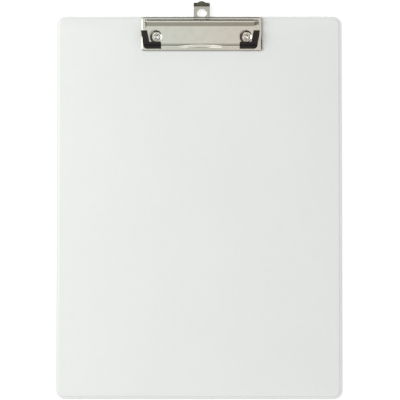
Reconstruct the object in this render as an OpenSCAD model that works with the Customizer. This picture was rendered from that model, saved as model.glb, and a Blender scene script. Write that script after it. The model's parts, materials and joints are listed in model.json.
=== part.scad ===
// Clipboard: a plastic-covered board with a low sprung clip, rubber corner grips and a pull-out hanger.
// Origin at the centre of the board's back face, +X to the right, +Y towards the clip, +Z out of the
// writing face. Millimetres.

/* [Board] */
// Width of the board
board_w = 235; // [200:1:290]
// Height of the board
board_h = 315; // [250:1:380]
// Radius of the board's corners
corner_r = 7.5; // [5:0.5:15]
// Thickness of the greyboard core
core_t = 2; // [1.6:0.1:3]
// Thickness of each plastic cover
film_t = 0.25; // [0.2:0.05:0.4]
// Width of the welded rim round the core
rim_w = 1.4; // [1.2:0.1:4]
// Thickness of the welded rim
rim_t = 1.5; // [0.8:0.1:2]

/* [Clip base] */
// Width of the base plate
clip_w = 100; // [96:1:125]
// Depth of the base plate, rear to front
clip_d = 28; // [27:0.5:36]
// How far the clip sits to the right of the board's centre line
clip_offset = 2.2; // [-5:0.1:5]
// Gap between the board's top edge and the base plate's rear edge
clip_setback = 0.7; // [0.3:0.1:6]
// Thickness of the sheet steel
sheet_t = 0.5; // [0.4:0.05:0.7]
// Outer radius of the base plate's bent edges
base_bend_r = 1.2; // [1:0.1:1.6]
// Radius of the base plate's corners, seen from the front
base_corner_r = 1.8; // [1:0.1:4]

/* [Hinge] */
// Diameter of the hinge rod
rod_d = 1.6; // [1.4:0.1:2]
// Distance from the base plate's rear edge to the rod's axis
rod_back = 4.3; // [4:0.1:6]
// Gap that the turning ridge keeps from the base plate
swing_clear = 1.35; // [0.8:0.05:1.8]
// Radius of the ears that hold the rod
ear_r = 1.8; // [1.6:0.1:2.2]
// Distance from the base plate's side edge to an ear's outer face
ear_inset = 3.6; // [3:0.1:8]
// Play of the press plate along the rod, each way
end_play = 1.4; // [1.2:0.1:2]
// Where the press plate lies in its end play
press_shift = -1.1; // [-1.1:0.1:1.1]
// Radial clearance of the press plate on the rod
hinge_clear = 0.06; // [0.03:0.01:0.1]
// Height of the peened head at each end of the rod
peen_h = 0.6; // [0.4:0.1:1]
// Radius of the peened head
peen_r = 1.3; // [1.2:0.1:1.7]

/* [Press plate] */
// Distance from the base plate's side edge to the press plate's widest point
press_inset = 1.8; // [1.4:0.1:3]
// How much narrower the press plate is at each side of its front edge
press_taper = 1.9; // [0:0.1:3]
// Height of the flat top above the rod's axis
press_lift = -0.1; // [-0.3:0.05:0.4]
// Slope of the ridge's front, in degrees
ridge_slope_a = 30; // [26:1:45]
// Distance from the base plate's front edge to the press plate's front edge
press_setback = 2.25; // [1.8:0.05:4]
// Outer radius of the front crease
crease_r = 1.1; // [1:0.1:1.5]
// Slope of the flank below the crease, in degrees
flank_a = 60; // [50:1:70]
// Length of the front lip
lip_l = 1.5; // [1:0.1:2]
// Slope of the front lip, in degrees
lip_a = 8; // [2:1:15]
// Height of the lip's edge above the base plate
lip_rise = 0.3; // [0.25:0.05:0.8]
// Width of the arched finger lift
arch_w = 34; // [20:1:40]
// Rise of the finger lift above the lip
arch_h = 1.5; // [0.8:0.1:1.6]
// Radius of the press plate's front corners
press_corner_r = 2.4; // [1:0.1:4]
// Radius of the access hole over each rivet
access_r = 5.3; // [4.5:0.1:5.6]
// Height of the side skirts' lower edge above the base plate
skirt_rise = 1.2; // [0.8:0.1:2]

/* [Springs] */
// Wire diameter of the torsion springs
wire_d = 0.4; // [0.3:0.05:0.5]
// Gap between the coils and the rod
coil_clear = 0.1; // [0.1:0.05:0.3]
// Gap between the coils and the ridge
ridge_clear = 0.15; // [0.15:0.05:0.4]
// Whole turns in each spring
coil_turns = 14; // [6:1:16]
// Distance of each spring's middle from the clip's centre
spring_x = 25; // [15:1:36]

/* [Rivets] */
// Distance from the base plate's side edge to the rivet
rivet_inset = 13; // [11:0.5:20]
// Distance from the base plate's front edge to the rivets
rivet_front = 11.4; // [10:0.1:13]
// Radius of the rivet's shank
shank_r = 2; // [1.5:0.1:2.4]
// Radius of the hollow in the shank
hollow_r = 1.5; // [1:0.1:1.9]
// Outer radius of the rolled end
roll_r = 2.8; // [2.5:0.1:3.4]
// Radius of the head in the board's back
head_r = 4; // [3:0.1:5]
// Thickness of the head
head_t = 0.5; // [0.4:0.05:0.8]
// Radius of the base plate's dimple at its top
dimple_r = 5.6; // [5:0.1:6]
// Radius of the dimple's floor
dimple_floor_r = 4.1; // [3.6:0.1:4.5]

/* [Corner grips] */
// Wall thickness of the rubber outside the press plate
grip_wall = 0.7; // [0.5:0.05:0.9]
// Width of the arm along the side, inside the plate's edge
grip_side_w = 4.4; // [3:0.1:5]
// Distance from the press plate's shoulder to the side arm's rear end
grip_side_gap = 0.1; // [0:0.1:4]
// Length of the arm along the front
grip_front_l = 14; // [8:0.5:20]
// Depth of the arm along the front
grip_front_d = 5.4; // [4.5:0.1:6]
// Height of the rubber's lower face above the base plate
grip_rise = 0.1; // [0.05:0.05:0.3]

/* [Hanger] */
// Width of the hanger tab
hanger_w = 13.4; // [11:0.1:18]
// Thickness of the hanger
hanger_t = 0.9; // [0.6:0.05:1]
// Gap between the hanger and the board
hanger_gap = 0.15; // [0.1:0.05:0.3]
// Gap between the hanger and the base plate above it
hanger_clear = 0.45; // [0.2:0.05:1.5]
// Radius of the hanging hole
hole_r = 3.8; // [2.5:0.1:4.2]
// Distance from the board's top edge to the hole's centre
hole_out = 2.2; // [1:0.1:4]
// Distance from the board's top edge to the bend of the lip
tab_out = 7.7; // [6.8:0.1:9]
// Travel of the hanger outwards
pull_out = 4; // [3:0.1:5]
// How far each shoulder that stops the hanger stands out
shoulder_step = 4.3; // [2:0.1:8]
// Length of the shoulders
shoulder_l = 7; // [4:0.5:9]
// Clearance at each side of the hanger in its slot
slot_clear = 0.4; // [0.2:0.05:0.8]
// Inner radius of the hanger's bend
hanger_bend_r = 0.6; // [0.4:0.1:1]
// Angle of the hanger's bent-up lip
hanger_lip_a = 45; // [30:1:60]
// Length of the lip at its corners
hanger_lip_l = 3.1; // [2:0.1:4]
// Rise of the rounded middle of the lip
hanger_bump_h = 1.5; // [0.5:0.1:2]
// Half the width of the rounded middle of the lip
hanger_bump_w = 3.6; // [2:0.1:5]

/* [Hidden] */
$fn = 64;

cut = 1;              // how far a cutting solid reaches past what it cuts
fixed_clear = 0.03;   // radial clearance of pieces that are fixed in their holes
wire_gap = 0.02;      // gap between neighbouring turns, and under a spring's foot
stop_gap = 0.1;       // gap left at the hanger's stop when it is pulled out
board_t = core_t + 2 * film_t;
seam_z = board_t / 2;
base_rise = hanger_gap + hanger_t + hanger_clear + sheet_t;
base_top_z = board_t + base_rise;

// The hinge from the inside out: rod, coils, rolled ridge, then the height that lets the ridge turn
rod_y = board_h / 2 - clip_setback - rod_back;
rod_r = rod_d / 2;
coil_r = rod_r + coil_clear + wire_d / 2;
ridge_r = coil_r + wire_d / 2 + ridge_clear + sheet_t;
rod_rise = ridge_r + swing_clear;
press_rise = rod_rise + press_lift;
ear_x = clip_w / 2 - ear_inset - sheet_t;
ear_l = rod_rise + ear_r;
cheek_x = ear_x - end_play - sheet_t;
cheek_r = ridge_r - sheet_t / 2;
web_l = 0.6;
web_a = -50;
web_top_a = 90 - ridge_slope_a;
web_r = 0.95 * cheek_r;
ridge_end_a = 200;
neck_r = 0.8;
slope_v = rod_rise + ridge_r / cos(ridge_slope_a);   // the slope's height, carried back over the rod
neck_u = (slope_v - press_rise) / tan(ridge_slope_a) + neck_r * tan(ridge_slope_a / 2);

base_mid_y = rod_back - clip_d / 2;                 // the base plate's middle, from the rod
rivet_x = clip_w / 2 - rivet_inset;
rivet_y = rod_back - clip_d + rivet_front;          // the rivets, from the rod
skirt_r = base_bend_r - sheet_t;
drawn_share = 0.8;                                  // the dimple's wall, thinned as it was drawn

// The front of the press plate's section, from the rod: u forwards, v above the base plate
foot_r = 0.4;
front_u = clip_d - rod_back - press_setback;
lip_front_v = lip_rise + sheet_t * cos(lip_a);
lip_start = [front_u - lip_l * cos(lip_a), lip_front_v + lip_l * sin(lip_a)];
foot_mid = lip_start + foot_r * [sin(lip_a), cos(lip_a)];
flank_end = foot_mid - foot_r * [sin(flank_a), cos(flank_a)];
flank_l = (press_rise - crease_r * (1 - cos(flank_a)) - flank_end[1]) / sin(flank_a);
flank_start = flank_end - flank_l * [cos(flank_a), -sin(flank_a)];
crease_u = flank_start[0] - crease_r * sin(flank_a);

// The press plate seen from the front: narrow between the ears, then tapering towards the lip
waist_run = 3.2;
shoulder_run = 2.2;
waist_u = ear_r + waist_run;
shoulder_u = waist_u + shoulder_run;
outline_past = 0.05;
skirt_end_gap = 0.2;
skirt_end_u = crease_u - skirt_end_gap;
press_w = clip_w - 2 * press_inset;
press_front_w = press_w - 2 * press_taper;
grip_side_u = shoulder_u + grip_side_gap;
function half_w(u) = press_w / 2 - press_taper * (u - shoulder_u) / (front_u - shoulder_u);

// The finger lift is a barrel vault whose crown falls from the flat top towards the lip
arch_lead = 0.9;
arch_start_u = crease_u - arch_lead;
arch_crown_v = lip_front_v + arch_h;
arch_tilt = atan((press_rise - arch_crown_v) / (front_u - arch_start_u));
arch_r = (arch_w * arch_w / 4 + arch_h * arch_h) / (2 * arch_h);

// Spring: from the foot on the base plate, round the rod, to the stub under the ridge's rear edge
wire_sides = 6;
coil_steps = 14;
coil_pitch = wire_d + wire_gap;
coil_l = coil_turns * coil_pitch;
stub_a = -30;
stub_r = ridge_r - wire_d / 3;
foot_y = coil_r + 0.8;
foot_z = wire_d / 2 + wire_gap - rod_rise;
coil_last = coil_steps * coil_turns - round(coil_steps * (90 + stub_a) / 360);
function coil_point(i) = let (a = 270 - 360 * i / coil_steps)
    [coil_pitch * i / coil_steps - coil_l / 2, coil_r * cos(a), coil_r * sin(a)];
spring_path = concat(
    [[-coil_l / 2, foot_y, foot_z]],
    [for (i = [0:coil_last]) coil_point(i)],
    [[coil_point(coil_last)[0], stub_r * cos(stub_a), stub_r * sin(stub_a)]]);

hanger_out_r = hanger_bend_r + hanger_t;
hanger_bump_r = (pow(hanger_bump_w, 2) + pow(hanger_bump_h, 2)) / (2 * hanger_bump_h);
hanger_shoulder_y = -clip_setback - sheet_t - pull_out - stop_gap;
shoulder_w = hanger_w + 2 * shoulder_step;

module rounded_rect(w, h, r) {
    square([w - 2 * r, h], center = true);
    square([w, h - 2 * r], center = true);
    for (sx = [-1, 1], sy = [-1, 1])
        translate([sx * (w / 2 - r), sy * (h / 2 - r)]) circle(r);
}

// A rectangle standing on the axis with its two upper corners rounded
module rounded_top(w, h, r) {
    translate([-w / 2, 0]) square([w, h - r]);
    translate([r - w / 2, 0]) square([w - 2 * r, h]);
    for (s = [-1, 1])
        translate([s * (w / 2 - r), h - r]) circle(r);
}

// Points along an arc
function arc(mid, r, a0, a1, n) =
    [for (i = [0:n]) let (a = a0 + (a1 - a0) * i / n) mid + r * [cos(a), sin(a)]];

// A stretch of bent sheet between two angles
module ring_sector(r_in, r_out, a0, a1) {
    intersection() {
        difference() {
            circle(r_out);
            circle(r_in);
        }
        polygon(concat([[0, 0]], [for (i = [0:4]) let (a = a0 + (a1 - a0) * i / 4)
            2 * r_out * [cos(a), sin(a)]]));
    }
}

// Extrudes a (y, z) section along X
module along_x(l) {
    rotate([90, 0, 90]) linear_extrude(l, center = true) children();
}

// Extrudes an (x, z) section along Y
module along_y(l) {
    rotate([90, 0, 0]) linear_extrude(l, center = true) children();
}

// Places children on the base plate's top, level with the rod
module on_clip() {
    translate([clip_offset, rod_y, base_top_z]) children();
}

module at_rivets() {
    for (s = [-1, 1])
        translate([clip_offset + s * rivet_x, rod_y + rivet_y, 0]) children();
}

module board_outline(inset) {
    rounded_rect(board_w - 2 * inset, board_h - 2 * inset, max(corner_r - inset, 1));
}

module core_board() {
    color("tan") difference() {
        translate([0, 0, film_t]) linear_extrude(core_t) board_outline(rim_w + film_t);
        at_rivets() {
            cylinder(r = shank_r + fixed_clear, h = board_t);
            cylinder(r = head_r + fixed_clear, h = head_t);
        }
    }
}

module front_cover() {
    color("white") difference() {
        union() {
            translate([0, 0, seam_z]) linear_extrude(rim_t / 2) board_outline(0);
            translate([0, 0, seam_z]) linear_extrude(board_t - seam_z) board_outline(rim_w);
        }
        translate([0, 0, seam_z - cut])
            linear_extrude(board_t - film_t - seam_z + cut) board_outline(rim_w + film_t);
        at_rivets() cylinder(r = shank_r + fixed_clear, h = board_t + cut);
    }
}

module back_cover() {
    color("white") difference() {
        union() {
            translate([0, 0, seam_z - rim_t / 2]) linear_extrude(rim_t / 2) board_outline(0);
            linear_extrude(seam_z) board_outline(rim_w);
        }
        translate([0, 0, film_t]) linear_extrude(seam_z - film_t + cut) board_outline(rim_w + film_t);
        at_rivets() translate([0, 0, -cut]) cylinder(r = head_r + fixed_clear, h = board_t + cut);
    }
}

// A block with a rounded rim round its top, standing on z = 0
module tray_block(w, d, h, r, corner) {
    intersection() {
        along_x(w + cut) rounded_top(d, h, r);
        along_y(d + cut) rounded_top(w, h, r);
        linear_extrude(h + cut) rounded_rect(w, d, corner);
    }
}

// The pressed cup that brings the base plate down to the board at a rivet
module dimple() {
    wall = drawn_share * sheet_t;
    rotate_extrude() polygon([
        [shank_r + fixed_clear, -base_rise],
        [dimple_floor_r + wall, -base_rise],
        [dimple_r + wall, -sheet_t],
        [dimple_r + wall, 0],
        [dimple_r, 0],
        [dimple_floor_r, sheet_t - base_rise],
        [shank_r + fixed_clear, sheet_t - base_rise]]);
}

module ear() {
    along_x(sheet_t) {
        translate([0, rod_rise]) circle(ear_r);
        translate([-ear_r, -sheet_t]) square([2 * ear_r, rod_rise + sheet_t]);
    }
}

module clip_base() {
    color("silver") on_clip() difference() {
        union() {
            difference() {
                translate([0, base_mid_y, -base_rise])
                    tray_block(clip_w, clip_d, base_rise, base_bend_r, base_corner_r);
                translate([0, base_mid_y, -base_rise - cut])
                    tray_block(clip_w - 2 * sheet_t, clip_d - 2 * sheet_t,
                        base_rise + cut - sheet_t, skirt_r, base_corner_r - sheet_t);
                for (s = [-1, 1])
                    translate([s * rivet_x, rivet_y, -base_rise])
                        cylinder(r = dimple_r + sheet_t / 2, h = base_rise + cut);
                translate([-hanger_w / 2 - slot_clear, rod_back - sheet_t - cut, -base_rise - cut])
                    cube([hanger_w + 2 * slot_clear, sheet_t + 2 * cut, base_rise + cut - sheet_t]);
                for (s = [-1, 1])
                    translate([s * (ear_x - ear_l / 2), 0, -sheet_t / 2])
                        cube([ear_l, 2 * ear_r, 2 * sheet_t], center = true);
            }
            for (s = [-1, 1]) {
                translate([s * rivet_x, rivet_y, 0]) dimple();
                translate([s * (ear_x + sheet_t / 2), 0, 0]) ear();
            }
        }
        translate([0, 0, rod_rise]) rotate([0, 90, 0])
            cylinder(r = rod_r + fixed_clear, h = clip_w, center = true);
    }
}

module hinge_rod() {
    color("silver") on_clip() translate([0, 0, rod_rise]) rotate([0, 90, 0]) {
        cylinder(r = rod_r, h = 2 * (ear_x + sheet_t), center = true);
        for (s = [-1, 1])
            scale([1, 1, s]) translate([0, 0, ear_x + sheet_t]) peened_head();
    }
}

// A low dome, flat where it bears on the ear
module peened_head() {
    dome_r = (peen_r * peen_r + peen_h * peen_h) / (2 * peen_h);
    rotate_extrude() intersection() {
        translate([0, peen_h - dome_r]) circle(dome_r);
        square([peen_r + cut, peen_h + cut]);
    }
}

// The press plate's section, in (u, v), from the ridge's rear edge to the lip and back inside
module press_section() {
    ridge_mid = [0, rod_rise];
    neck_mid = [neck_u, press_rise + neck_r];
    slope_a = 90 - ridge_slope_a;
    crease_mid = [crease_u, press_rise - crease_r];
    lip_end = [front_u, lip_front_v];
    polygon(concat(
        arc(ridge_mid, ridge_r, ridge_end_a, slope_a, 24),
        arc(neck_mid, neck_r, 180 + slope_a, 270, 6),
        arc(crease_mid, crease_r, 90, 90 - flank_a, 6),
        arc(foot_mid, foot_r, 270 - flank_a, 270 - lip_a, 5),
        [lip_end, lip_end - sheet_t * [sin(lip_a), cos(lip_a)]],
        arc(foot_mid, foot_r + sheet_t, 270 - lip_a, 270 - flank_a, 5),
        arc(crease_mid, crease_r - sheet_t, 90 - flank_a, 90, 6),
        arc(neck_mid, neck_r + sheet_t, 270, 180 + slope_a, 6),
        arc(ridge_mid, ridge_r - sheet_t, slope_a, ridge_end_a, 24)));
}

// The right half of the press plate's outline seen from the front
module press_outline() {
    front = front_u + outline_past;
    edge = press_front_w / 2;
    r = press_corner_r;
    polygon(concat(
        [[0, ridge_r + cut], [cheek_x + sheet_t, ridge_r + cut], [cheek_x + sheet_t, -waist_u]],
        [[press_w / 2, -shoulder_u]],
        arc([edge - r, r - front], r, 0, -90, 8),
        [[0, -front]]));
}

// The side skirt at the right, a strip along the tapering edge
module skirt() {
    translate([0, 0, skirt_rise]) linear_extrude(press_rise - skirt_rise - sheet_t / 2) polygon([
        [half_w(shoulder_u), -shoulder_u],
        [half_w(skirt_end_u), -skirt_end_u],
        [half_w(skirt_end_u) - sheet_t, -skirt_end_u],
        [half_w(shoulder_u) - sheet_t, -shoulder_u]]);
}

// The vault's solid below a crown of radius r, w wide
module arch_solid(r, w) {
    steps = 16;
    low = arch_r - 2 * press_rise;
    translate([0, -arch_start_u, press_rise]) rotate([90 + arch_tilt, 0, 0])
        translate([0, -arch_r, -cut]) linear_extrude(front_u - arch_start_u + 3 * cut) polygon(concat(
            [for (i = [0:steps]) let (x = w * (i / steps - 0.5)) [x, sqrt(r * r - x * x)]],
            [[w / 2, low], [-w / 2, low]]));
}

// Everything on the outer side of the section's lower face, from the arch's start to the lip
module over_section() {
    under = sheet_t * [sin(flank_a), cos(flank_a)];
    polygon([
        [arch_start_u, press_rise + cut],
        [arch_start_u, press_rise - sheet_t],
        [crease_u, press_rise - sheet_t],
        flank_start - under,
        flank_end - under,
        lip_start - sheet_t * [sin(lip_a), cos(lip_a)],
        [front_u, lip_rise],
        [front_u, press_rise + cut]]);
}

module arch_zone() {
    intersection() {
        arch_solid(arch_r, arch_w);
        translate([-arch_w, -front_u - cut, -cut])
            cube([2 * arch_w, front_u - arch_start_u + cut, press_rise + 2 * cut]);
    }
}

module press_body() {
    difference() {
        intersection() {
            along_x(press_w + cut) mirror([1, 0]) press_section();
            translate([0, 0, -cut]) linear_extrude(press_rise + ridge_r + 3 * cut) {
                press_outline();
                mirror([1, 0]) press_outline();
            }
        }
        arch_zone();
    }
    intersection() {
        along_x(arch_w + cut) mirror([1, 0]) over_section();
        difference() {
            arch_solid(arch_r, arch_w);
            arch_solid(arch_r - sheet_t, arch_w + cut);
        }
    }
    for (s = [0, 1])
        mirror([s, 0, 0]) skirt();
}

// An end of the ridge, bent down over the rod, and the web that joins it to the flat top
module cheek() {
    along_x(sheet_t) mirror([1, 0]) {
        translate([0, rod_rise]) circle(cheek_r);
        polygon([
            [0, rod_rise],
            [web_r * cos(web_top_a), rod_rise + web_r * sin(web_top_a)],
            [neck_u - neck_r * tan(ridge_slope_a / 2), press_rise - sheet_t / 2],
            [neck_u + web_l, press_rise - sheet_t / 2],
            [neck_u + web_l, press_rise - sheet_t],
            [web_r * cos(web_a), rod_rise + web_r * sin(web_a)]]);
    }
}

module press_plate() {
    color("silver") on_clip() translate([press_shift, 0, 0]) difference() {
        union() {
            press_body();
            for (s = [-1, 1])
                translate([s * (cheek_x + sheet_t / 2), 0, 0]) cheek();
        }
        translate([0, 0, rod_rise]) rotate([0, 90, 0])
            cylinder(r = rod_r + hinge_clear, h = press_w, center = true);
        for (s = [-1, 1])
            translate([s * rivet_x, rivet_y, 0]) cylinder(r = access_r, h = press_rise + cut);
    }
}

// Sweeps a round wire along a path that stays nearly square to X
function tangent(path, i) = let (
        a = path[max(i - 1, 0)],
        b = path[min(i + 1, len(path) - 1)])
    (b - a) / norm(b - a);
function wire_ring(path, i) = let (
        t = tangent(path, i),
        side = [1, 0, 0] - t[0] * t,
        n = side / norm(side),
        m = cross(t, n))
    [for (k = [0:wire_sides - 1]) let (a = 360 * k / wire_sides)
        path[i] + wire_d / 2 * (cos(a) * n + sin(a) * m)];

module spring() {
    rings = len(spring_path);
    points = [for (i = [0:rings - 1]) each wire_ring(spring_path, i)];
    walls = [for (i = [0:rings - 2], k = [0:wire_sides - 1]) let (
            a = i * wire_sides + k,
            b = i * wire_sides + (k + 1) % wire_sides)
        each [[a, a + wire_sides, b], [b, a + wire_sides, b + wire_sides]]];
    first_cap = [for (k = [0:wire_sides - 1]) k];
    last_cap = [for (k = [wire_sides - 1:-1:0]) (rings - 1) * wire_sides + k];
    translate([0, 0, rod_rise]) polyhedron(points, concat(walls, [first_cap, last_cap]));
}

module spring_left() {
    color("gray") on_clip() translate([-spring_x, 0, 0]) spring();
}

module spring_right() {
    color("gray") on_clip() translate([spring_x, 0, 0]) mirror([1, 0, 0]) spring();
}

// The rubber's section across the front arm, in (u, v)
module grip_section() {
    nose_v = lip_front_v + 0.6 * grip_wall;
    top = press_rise + grip_wall;
    bend = crease_r + grip_wall;
    front = front_u + grip_wall;
    polygon(concat(
        [[0, grip_rise], [0, top]],
        [for (a = [0:15:flank_a])
            [crease_u + bend * sin(a), press_rise - crease_r + bend * cos(a)]],
        [lip_start + grip_wall * [sin(lip_a), cos(lip_a)]],
        [[front, nose_v], [front, grip_rise]]));
}

// The rubber's L-shaped outline at the right
module grip_outline() {
    front = front_u + grip_wall;
    edge = press_front_w / 2;
    r = press_corner_r + grip_wall;
    inner_y = grip_front_d - front;
    polygon(concat(
        [[half_w(grip_side_u) + grip_wall, -grip_side_u]],
        arc([edge + grip_wall - r, r - front], r, 0, -90, 8),
        [[edge - grip_front_l, -front], [edge - grip_front_l, inner_y]],
        [[half_w(front_u) - grip_side_w, inner_y]],
        [[half_w(grip_side_u) - grip_side_w, -grip_side_u]]));
}

module corner_grip() {
    difference() {
        intersection() {
            linear_extrude(press_rise + 2 * grip_wall) grip_outline();
            along_x(press_w + 2 * cut + 2 * grip_wall) mirror([1, 0]) grip_section();
        }
        press_body();
    }
}

module corner_grip_left() {
    color("black") on_clip() translate([press_shift, 0, 0]) mirror([1, 0, 0]) corner_grip();
}

module corner_grip_right() {
    color("black") on_clip() translate([press_shift, 0, 0]) corner_grip();
}

// A semi-tubular rivet: head flush in the board's back, end rolled over in the dimple
module rivet() {
    seat_z = board_t + sheet_t;
    roll_s = (roll_r - hollow_r) / 2;
    rotate_extrude() {
        square([head_r, head_t]);
        square([shank_r, seam_z]);
        translate([hollow_r, head_t]) square([shank_r - hollow_r, seat_z - head_t + roll_s / 2]);
        intersection() {
            translate([hollow_r + roll_s, seat_z + roll_s / 3]) circle(roll_s);
            translate([hollow_r - cut / 2, seat_z]) square([roll_r, 2 * roll_s]);
        }
    }
}

module rivet_left() {
    color("silver") translate([clip_offset - rivet_x, rod_y + rivet_y, 0]) rivet();
}

module rivet_right() {
    color("silver") translate([clip_offset + rivet_x, rod_y + rivet_y, 0]) rivet();
}

// The lip's outline in its own plane: square corners and a rounded middle
module hanger_lip() {
    translate([-hanger_w / 2, 0]) square([hanger_w, hanger_lip_l]);
    intersection() {
        translate([0, hanger_lip_l + hanger_bump_h - hanger_bump_r]) circle(hanger_bump_r);
        translate([-hanger_w / 2, hanger_lip_l / 2]) square([hanger_w, hanger_lip_l + hanger_bump_h]);
    }
}

module hanger() {
    a = hanger_lip_a;
    color("silver") translate([clip_offset, board_h / 2, board_t + hanger_gap]) difference() {
        union() {
            linear_extrude(hanger_t) {
                translate([-hanger_w / 2, hanger_shoulder_y])
                    square([hanger_w, tab_out - hanger_shoulder_y]);
                translate([-shoulder_w / 2, hanger_shoulder_y - shoulder_l])
                    square([shoulder_w, shoulder_l]);
            }
            along_x(hanger_w) translate([tab_out, hanger_out_r])
                ring_sector(hanger_bend_r, hanger_out_r, 270, 270 + a);
            translate([0, tab_out + hanger_out_r * sin(a), hanger_out_r * (1 - cos(a))])
                rotate([a, 0, 0]) linear_extrude(hanger_t) hanger_lip();
        }
        translate([0, hole_out, -cut]) cylinder(r = hole_r, h = hanger_t + 2 * cut);
    }
}

core_board();
front_cover();
back_cover();
clip_base();
hinge_rod();
press_plate();
spring_left();
spring_right();
corner_grip_left();
corner_grip_right();
rivet_left();
rivet_right();
hanger();
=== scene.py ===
import json
import math

import bmesh
import bpy
from mathutils import Matrix, Vector


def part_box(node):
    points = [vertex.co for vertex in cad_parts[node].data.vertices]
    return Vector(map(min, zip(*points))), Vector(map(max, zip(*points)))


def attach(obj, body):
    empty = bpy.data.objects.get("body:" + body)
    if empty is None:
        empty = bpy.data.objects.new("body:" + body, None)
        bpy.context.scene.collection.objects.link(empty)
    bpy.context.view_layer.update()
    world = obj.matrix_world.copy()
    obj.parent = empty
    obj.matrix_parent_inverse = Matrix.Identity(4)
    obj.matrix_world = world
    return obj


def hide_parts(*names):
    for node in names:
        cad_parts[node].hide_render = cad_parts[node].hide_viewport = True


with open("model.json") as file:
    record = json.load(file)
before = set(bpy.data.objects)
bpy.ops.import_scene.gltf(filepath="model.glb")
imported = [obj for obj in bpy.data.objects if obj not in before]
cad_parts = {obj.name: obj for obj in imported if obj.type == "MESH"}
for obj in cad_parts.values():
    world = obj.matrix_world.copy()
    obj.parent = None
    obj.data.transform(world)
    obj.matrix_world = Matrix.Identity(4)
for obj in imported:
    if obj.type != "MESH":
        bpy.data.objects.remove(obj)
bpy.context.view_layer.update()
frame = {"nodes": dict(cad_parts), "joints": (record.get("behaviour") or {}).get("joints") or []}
print("frame loaded")

mm = 0.001
collection = bpy.context.scene.collection

# ---- what the frame gives: the faces and axes that every piece is placed from

hingeJoint = next(joint for joint in frame["joints"] if joint["name"] == "press_hinge")
rod = Vector(hingeJoint["pos_m"])  # middle of the hinge axis, on the clip's centre line
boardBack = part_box("back_cover")[0].z
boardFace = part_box("front_cover")[1].z
boardLow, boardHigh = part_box("front_cover")
baseLow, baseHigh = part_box("clip_base")
pressLow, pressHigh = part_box("press_plate")
hangerLow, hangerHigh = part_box("hanger")
rodLow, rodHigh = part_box("hinge_rod")

clip = {
    "sheet": 0.5 * mm,  # sheet steel of the base and the press plate
    "rodRise": 3.3 * mm,  # rod axis above the base plate's top
    "rodRadius": 0.8 * mm,
}
baseTop = rod.z - clip["rodRise"]
rivetNodes = ("rivet_left", "rivet_right")


def rivetCentre(node):
    low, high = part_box(node)
    return (low + high) / 2


# ---- mesh tools

pole = 0.02 * mm  # smallest ring of a turned shape


def between(start, end, share):
    return tuple(a + (b - a) * share for a, b in zip(start, end))


def arc(centre, radius, fromAngle, toAngle, steps):
    points = []
    for i in range(steps + 1):
        angle = math.radians(fromAngle + (toAngle - fromAngle) * i / steps)
        points.append((centre[0] + radius * math.cos(angle), centre[1] + radius * math.sin(angle)))
    return points


def addLoop(bm, points):
    return [bm.verts.new(point) for point in points]


def bridge(bm, first, second, skip=()):
    count = len(first)
    for i in range(count):
        if i not in skip:
            j = (i + 1) % count
            bm.faces.new((first[i], first[j], second[j], second[i]))


def fillFlat(bm, *loops):
    edges = []
    for loop in loops:
        for i, vert in enumerate(loop):
            following = loop[(i + 1) % len(loop)]
            edges.append(bm.edges.get((vert, following)) or bm.edges.new((vert, following)))
    bmesh.ops.triangle_fill(bm, use_beauty=True, edges=edges)


def loft(bm, rings, capFirst=True, capLast=True):
    loops = [addLoop(bm, ring) for ring in rings]
    for first, second in zip(loops, loops[1:]):
        bridge(bm, first, second)
    if capFirst:
        fillFlat(bm, loops[0])
    if capLast:
        fillFlat(bm, loops[-1])
    return loops


def turned(profile, place, segments=64, wave=None):
    # rings of a lathe-turned shape: place(radius, height, angle) gives a point
    rings = []
    for radius, height in profile:
        ring = []
        for i in range(segments):
            angle = 2 * math.pi * i / segments
            grown = radius + (wave(radius, height, angle) if wave else 0)
            ring.append(place(grown, height, angle))
        rings.append(ring)
    return rings


def addObject(name, bm, finish):
    mesh = bpy.data.meshes.new(name)
    bm.to_mesh(mesh)
    bm.free()
    made = bpy.data.objects.new(name, mesh)
    collection.objects.link(made)
    mesh.materials.append(finish)
    return made


def makePiece(name, bm, finish, smoothAngle=35):
    bmesh.ops.recalc_face_normals(bm, faces=bm.faces[:])
    piece = addObject(name, bm, finish)
    smoothEdges(piece.data, smoothAngle)
    return piece


def faceUp(bm):
    # one open sheet, with its outer side upwards
    bmesh.ops.recalc_face_normals(bm, faces=bm.faces[:])
    if sum(face.normal.z * face.calc_area() for face in bm.faces) < 0:
        bmesh.ops.reverse_faces(bm, faces=bm.faces[:])


def smoothEdges(mesh, angle):
    mesh.polygons.foreach_set("use_smooth", [True] * len(mesh.polygons))
    mesh.set_sharp_from_angle(angle=math.radians(angle))


def applyModifiers(piece, smoothAngle=35):
    bpy.context.view_layer.update()
    shaped = piece.evaluated_get(bpy.context.evaluated_depsgraph_get())
    mesh = bpy.data.meshes.new_from_object(shaped)
    piece.modifiers.clear()
    piece.data = mesh
    smoothEdges(mesh, smoothAngle)


def bevelEdges(piece, width):
    edge = piece.modifiers.new("edge", "BEVEL")
    edge.width = width
    edge.segments = 2
    edge.limit_method = "ANGLE"
    edge.angle_limit = math.radians(50)


def thicken(piece, thickness, bevel):
    solidify = piece.modifiers.new("sheet", "SOLIDIFY")
    solidify.thickness = thickness
    solidify.offset = -1
    solidify.use_even_offset = True
    bevelEdges(piece, bevel)


def joinInto(target, *others):
    bm = bmesh.new()
    for part in (target, *others):
        bm.from_mesh(part.data)
    bm.to_mesh(target.data)
    bm.free()
    for part in others:
        bpy.data.objects.remove(part)
    smoothEdges(target.data, 35)


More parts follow.
